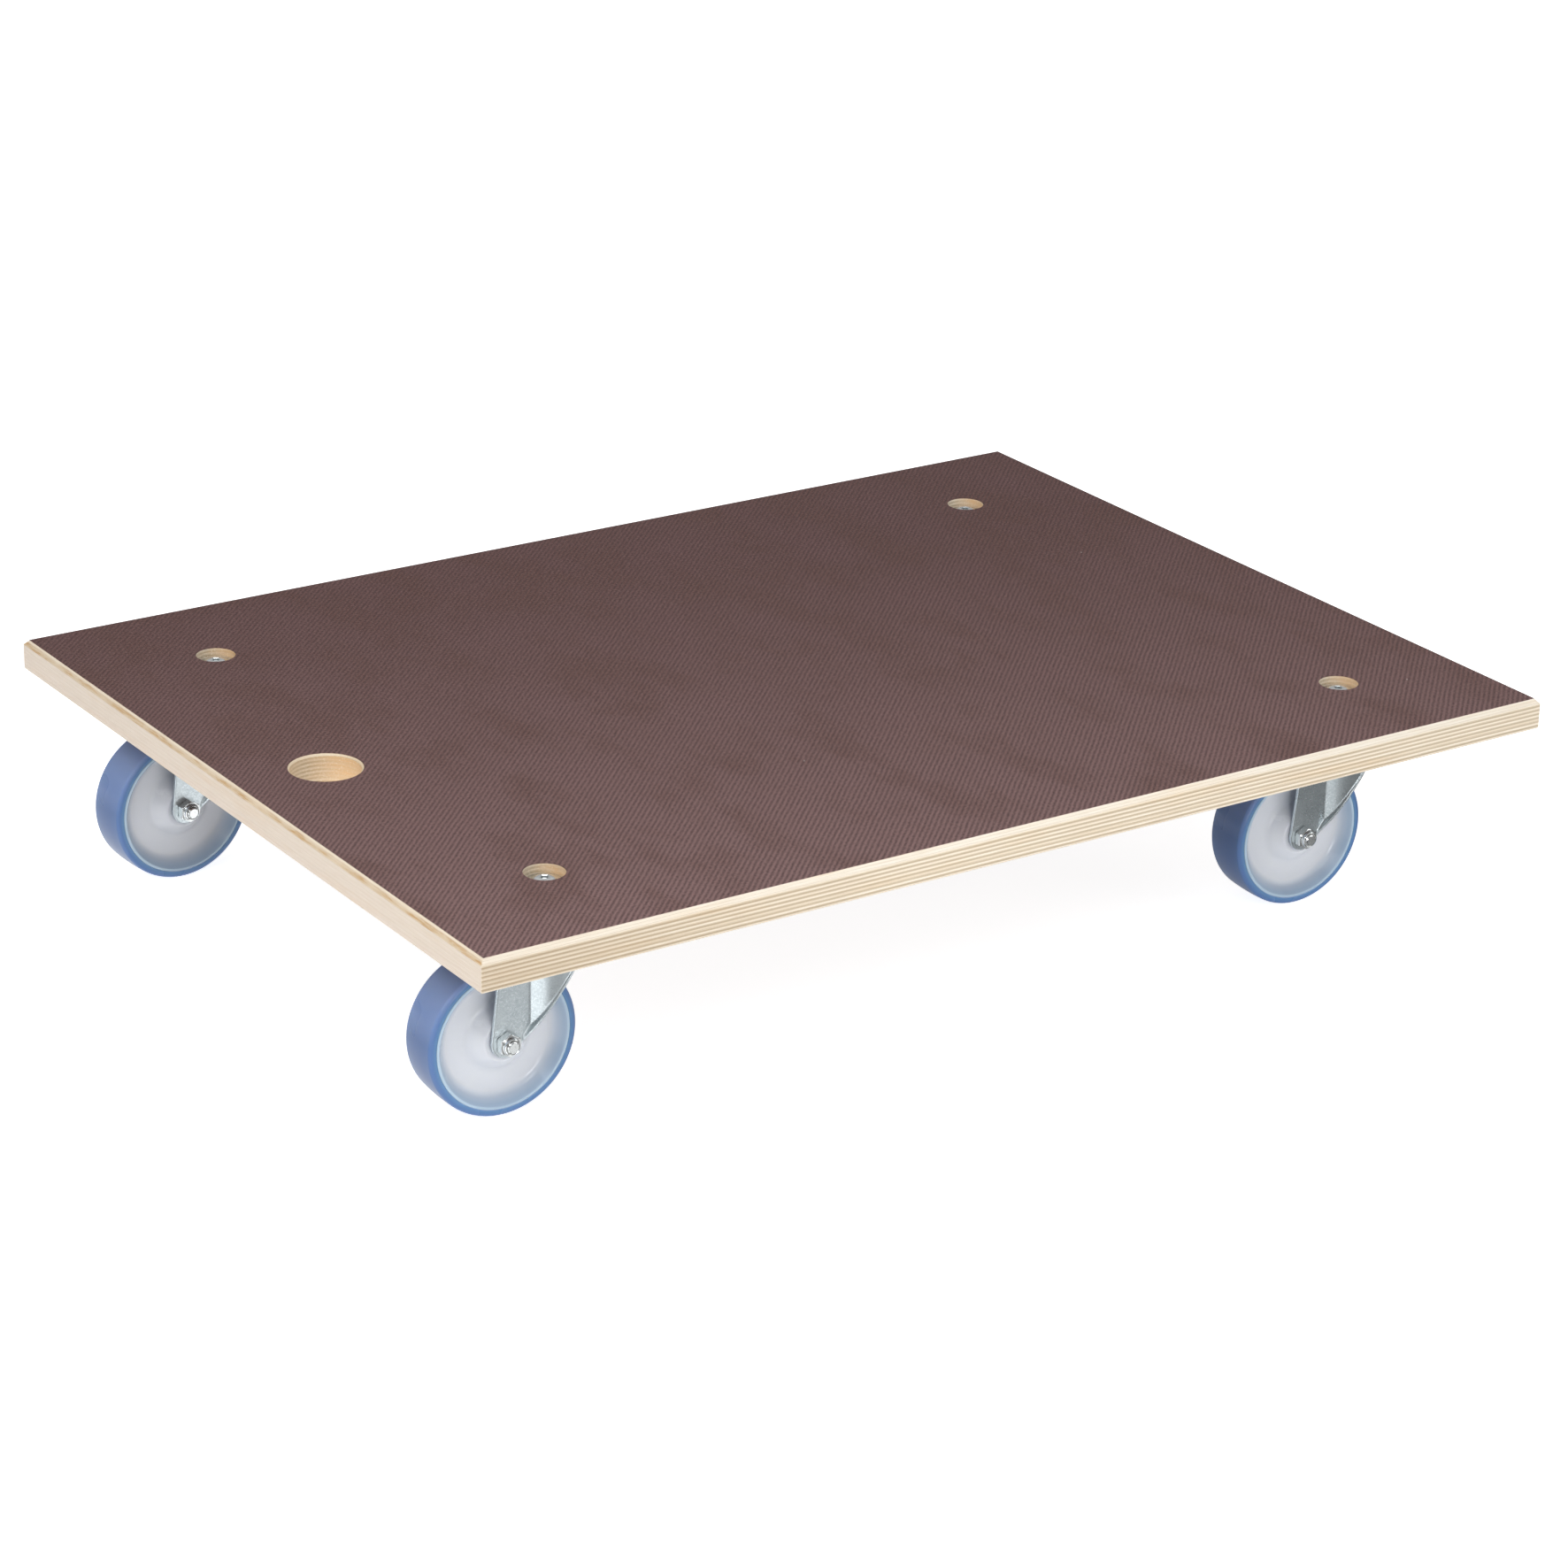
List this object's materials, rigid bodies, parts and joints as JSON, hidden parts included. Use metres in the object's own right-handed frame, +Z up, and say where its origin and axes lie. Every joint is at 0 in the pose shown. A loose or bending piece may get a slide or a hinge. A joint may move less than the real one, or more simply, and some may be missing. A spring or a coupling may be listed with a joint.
{
  "type": "furniture dolly",
  "caption": "Low furniture dolly: rectangular film-faced plywood deck with bevelled edges and a round grip hole, on swivel casters with tyred dished wheels.",
  "frame": {"origin": "on the floor, below the centre of the deck", "axes": "+X along the deck (grip hole at the -X end), +Y across the deck, +Z up"},
  "size_m": [0.8, 0.6, 0.145],
  "materials": {
    "birch_plywood": "sanded birch plywood, bare edges",
    "grip_film": "brown phenolic film with a pressed wire-mesh pattern",
    "smooth_film": "smooth brown phenolic film",
    "zinc_sheet": "pressed steel, bright zinc plate",
    "zinc_fastener": "bright zinc-plated steel",
    "ball_steel": "polished bearing steel",
    "hub_plastic": "natural white polyamide, satin",
    "tyre": "semi-gloss blue elastic polyurethane",
    "bush_bronze": "sintered bronze"
  },
  "bodies": {
    "deck": {"deck_board": "birch_plywood", "top_grip_film": "grip_film", "bottom_film": "smooth_film", "mounting_bolts": "zinc_fastener", "mounting_washers": "zinc_fastener", "mounting_nuts": "zinc_fastener", "front_left_top_cup": "zinc_sheet", "front_left_lower_cup": "zinc_sheet", "front_left_kingpin": "zinc_sheet", "front_right_top_cup": "zinc_sheet", "front_right_lower_cup": "zinc_sheet", "front_right_kingpin": "zinc_sheet", "rear_left_top_cup": "zinc_sheet", "rear_left_lower_cup": "zinc_sheet", "rear_left_kingpin": "zinc_sheet", "rear_right_top_cup": "zinc_sheet", "rear_right_lower_cup": "zinc_sheet", "rear_right_kingpin": "zinc_sheet"},
    "front_left_swivel_fork": {"front_left_upper_balls": "ball_steel", "front_left_lower_balls": "ball_steel", "front_left_fork": "zinc_sheet", "front_left_axle_tube": "zinc_fastener", "front_left_axle_bolt": "zinc_fastener", "front_left_axle_nut": "zinc_fastener"},
    "front_left_wheel": {"front_left_hub": "hub_plastic", "front_left_tyre": "tyre", "front_left_hub_bush": "bush_bronze"},
    "front_right_swivel_fork": {"front_right_upper_balls": "ball_steel", "front_right_lower_balls": "ball_steel", "front_right_fork": "zinc_sheet", "front_right_axle_tube": "zinc_fastener", "front_right_axle_bolt": "zinc_fastener", "front_right_axle_nut": "zinc_fastener"},
    "front_right_wheel": {"front_right_hub": "hub_plastic", "front_right_tyre": "tyre", "front_right_hub_bush": "bush_bronze"},
    "rear_left_swivel_fork": {"rear_left_upper_balls": "ball_steel", "rear_left_lower_balls": "ball_steel", "rear_left_fork": "zinc_sheet", "rear_left_axle_tube": "zinc_fastener", "rear_left_axle_bolt": "zinc_fastener", "rear_left_axle_nut": "zinc_fastener"},
    "rear_left_wheel": {"rear_left_hub": "hub_plastic", "rear_left_tyre": "tyre", "rear_left_hub_bush": "bush_bronze"},
    "rear_right_swivel_fork": {"rear_right_upper_balls": "ball_steel", "rear_right_lower_balls": "ball_steel", "rear_right_fork": "zinc_sheet", "rear_right_axle_tube": "zinc_fastener", "rear_right_axle_bolt": "zinc_fastener", "rear_right_axle_nut": "zinc_fastener"},
    "rear_right_wheel": {"rear_right_hub": "hub_plastic", "rear_right_tyre": "tyre", "rear_right_hub_bush": "bush_bronze"}
  },
  "joints": [
    {"name": "front_left_swivel", "type": "hinge", "parent": "deck", "child": "front_left_swivel_fork", "pos_m": [-0.304, -0.2095, 0.1135], "axis": [0, 0, 1], "continuous": true},
    {"name": "front_left_roll", "type": "hinge", "parent": "front_left_swivel_fork", "child": "front_left_wheel", "pos_m": [-0.33998, -0.20824, 0.05], "axis": [0.0349, 0.9994, 0], "continuous": true},
    {"name": "front_right_swivel", "type": "hinge", "parent": "deck", "child": "front_right_swivel_fork", "pos_m": [-0.304, 0.2095, 0.1135], "axis": [0, 0, 1], "continuous": true},
    {"name": "front_right_roll", "type": "hinge", "parent": "front_right_swivel_fork", "child": "front_right_wheel", "pos_m": [-0.33995, 0.20762, 0.05], "axis": [-0.0523, 0.9986, 0], "continuous": true},
    {"name": "rear_left_swivel", "type": "hinge", "parent": "deck", "child": "rear_left_swivel_fork", "pos_m": [0.304, -0.2095, 0.1135], "axis": [0, 0, 1], "continuous": true},
    {"name": "rear_left_roll", "type": "hinge", "parent": "rear_left_swivel_fork", "child": "rear_left_wheel", "pos_m": [0.26805, -0.20762, 0.05], "axis": [0.0523, 0.9986, 0], "continuous": true},
    {"name": "rear_right_swivel", "type": "hinge", "parent": "deck", "child": "rear_right_swivel_fork", "pos_m": [0.304, 0.2095, 0.1135], "axis": [0, 0, 1], "continuous": true},
    {"name": "rear_right_roll", "type": "hinge", "parent": "rear_right_swivel_fork", "child": "rear_right_wheel", "pos_m": [0.268, 0.2095, 0.05], "axis": [0, 1, 0], "continuous": true}
  ]
}
